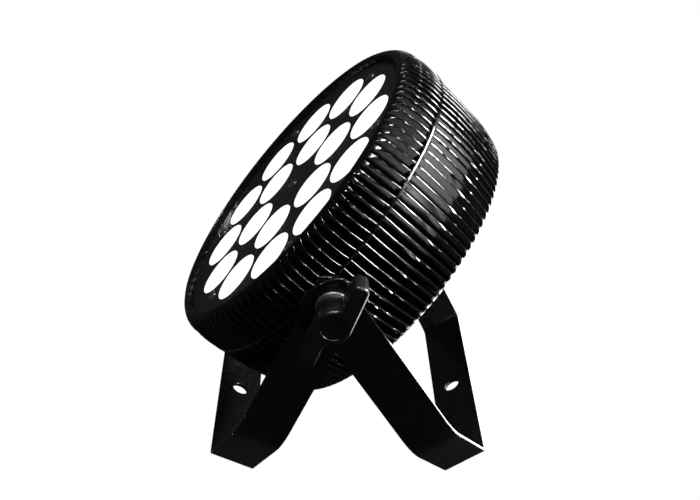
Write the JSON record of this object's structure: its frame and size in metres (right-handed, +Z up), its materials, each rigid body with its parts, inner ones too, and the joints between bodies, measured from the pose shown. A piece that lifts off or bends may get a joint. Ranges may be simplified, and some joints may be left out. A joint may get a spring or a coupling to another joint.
{
  "type": "led par light",
  "caption": "Round finned LED par light with lit lenses, tilting between two nested flat-strip yokes that splay to stand on the floor.",
  "frame": {"origin": "on the floor, under the middle of the object's bounding box", "axes": "+Z up; +X along the tilt axis; the beam leaves towards -Y, 42 degrees above the floor"},
  "size_m": [0.34, 0.2434, 0.2944],
  "materials": {
    "cast_black": "satin black paint on die-cast aluminium",
    "ring_black": "satin black anodised",
    "plate_black": "satin",
    "strip_black": "satin black powder coat",
    "moulded_black": "matte",
    "zinc_steel": "satin zinc plate",
    "bright_screw": "polished",
    "fibre": "matte",
    "lens_white": "gloss",
    "seal_rubber": "matte",
    "holder_black": "matte",
    "board_metal": "satin white mask",
    "pad_grey": "matte",
    "board_green": "satin",
    "emitter": "gloss",
    "window_dark": "gloss",
    "module_black": "matte",
    "button_grey": "matte",
    "supply_case": "satin",
    "socket_blue": "satin",
    "socket_grey": "satin",
    "socket_black": "satin",
    "latch_metal": "satin",
    "brass_post": "satin",
    "contact_metal": "satin",
    "wire_black": "satin"
  },
  "bodies": {
    "outer_yoke": {"outer_yoke": "strip_black", "yoke_friction_washers": "fibre"},
    "head": {"front_housing": "cast_black", "joint_ring": "ring_black", "rear_housing": "cast_black", "face_plate": "plate_black", "lenses": "lens_white", "face_screws": "bright_screw", "lens_gaskets": "seal_rubber", "lens_holder": "holder_black", "led_board": "board_metal", "led_emitters": "emitter", "thermal_pad": "pad_grey", "housing_screws": "zinc_steel", "rear_panel": "plate_black", "panel_screws": "bright_screw", "display_window": "window_dark", "display_module": "module_black", "control_board": "board_green", "board_standoffs": "brass_post", "power_supply": "supply_case", "supply_standoffs": "brass_post", "driver_board": "board_green", "driver_standoffs": "brass_post", "power_inlet": "socket_blue", "power_outlet": "socket_grey", "data_inlet": "socket_black", "data_outlet": "socket_black", "socket_contacts": "contact_metal", "socket_inserts": "socket_black", "socket_screws": "bright_screw", "fuse_holder": "socket_black", "vent_plug": "moulded_black", "safety_eye": "zinc_steel", "supply_lead": "wire_black", "dc_lead": "wire_black", "led_lead": "wire_black", "data_lead": "wire_black", "pivot_inserts": "zinc_steel", "head_friction_washers": "fibre"},
    "inner_yoke": {"inner_yoke": "strip_black"},
    "right_knob_washer": {"right_washer": "zinc_steel"},
    "right_knob": {"right_knob": "moulded_black", "right_knob_cap": "moulded_black", "right_stud": "zinc_steel"},
    "left_knob_washer": {"left_washer": "zinc_steel"},
    "left_knob": {"left_knob": "moulded_black", "left_knob_cap": "moulded_black", "left_stud": "zinc_steel"},
    "menu_button": {"menu_button": "button_grey"},
    "up_button": {"up_button": "button_grey"},
    "down_button": {"down_button": "button_grey"},
    "enter_button": {"enter_button": "button_grey"},
    "data_latch": {"data_latch": "latch_metal"},
    "fuse_cap": {"fuse_cap": "socket_black"}
  },
  "joints": [
    {"name": "head_tilt", "type": "hinge", "parent": "outer_yoke", "child": "head", "pos_m": [0, -0.0039, 0.17019], "axis": [1, 0, 0], "continuous": true},
    {"name": "inner_yoke_swing", "type": "hinge", "parent": "outer_yoke", "child": "inner_yoke", "pos_m": [0, -0.0039, 0.17019], "axis": [1, 0, 0], "continuous": true},
    {"name": "right_knob_slide", "type": "slide", "parent": "head", "child": "right_knob_washer", "axis": [1, 0, 0], "range_m": [0, 0.003]},
    {"name": "right_knob_turn", "type": "hinge", "parent": "right_knob_washer", "child": "right_knob", "pos_m": [0, -0.0039, 0.17019], "axis": [1, 0, 0], "range_deg": [0, 720]},
    {"name": "left_knob_slide", "type": "slide", "parent": "head", "child": "left_knob_washer", "axis": [-1, 0, 0], "range_m": [0, 0.003]},
    {"name": "left_knob_turn", "type": "hinge", "parent": "left_knob_washer", "child": "left_knob", "pos_m": [0, -0.0039, 0.17019], "axis": [-1, 0, 0], "range_deg": [0, 720]},
    {"name": "menu_button_press", "type": "slide", "parent": "head", "child": "menu_button", "axis": [0, -0.7431, 0.6691], "range_m": [0, 0.0008], "stiffness_N_per_m": 800, "springref_m": -0.0006},
    {"name": "up_button_press", "type": "slide", "parent": "head", "child": "up_button", "axis": [0, -0.7431, 0.6691], "range_m": [0, 0.0008], "stiffness_N_per_m": 800, "springref_m": -0.0006},
    {"name": "down_button_press", "type": "slide", "parent": "head", "child": "down_button", "axis": [0, -0.7431, 0.6691], "range_m": [0, 0.0008], "stiffness_N_per_m": 800, "springref_m": -0.0006},
    {"name": "enter_button_press", "type": "slide", "parent": "head", "child": "enter_button", "axis": [0, -0.7431, 0.6691], "range_m": [0, 0.0008], "stiffness_N_per_m": 800, "springref_m": -0.0006},
    {"name": "data_latch_press", "type": "slide", "parent": "head", "child": "data_latch", "axis": [0, -0.7431, 0.6691], "range_m": [0, 0.0015], "stiffness_N_per_m": 600, "springref_m": -0.001},
    {"name": "fuse_cap_turn", "type": "hinge", "parent": "head", "child": "fuse_cap", "pos_m": [0.05, 0.07072, 0.15144], "axis": [0, 0.7431, -0.6691], "range_deg": [0, 90]}
  ],
  "couplings": [
    {"joint": "right_knob_turn", "follows": "right_knob_slide", "rad_per_m": 4188.8},
    {"joint": "left_knob_turn", "follows": "left_knob_slide", "rad_per_m": 4188.8}
  ]
}
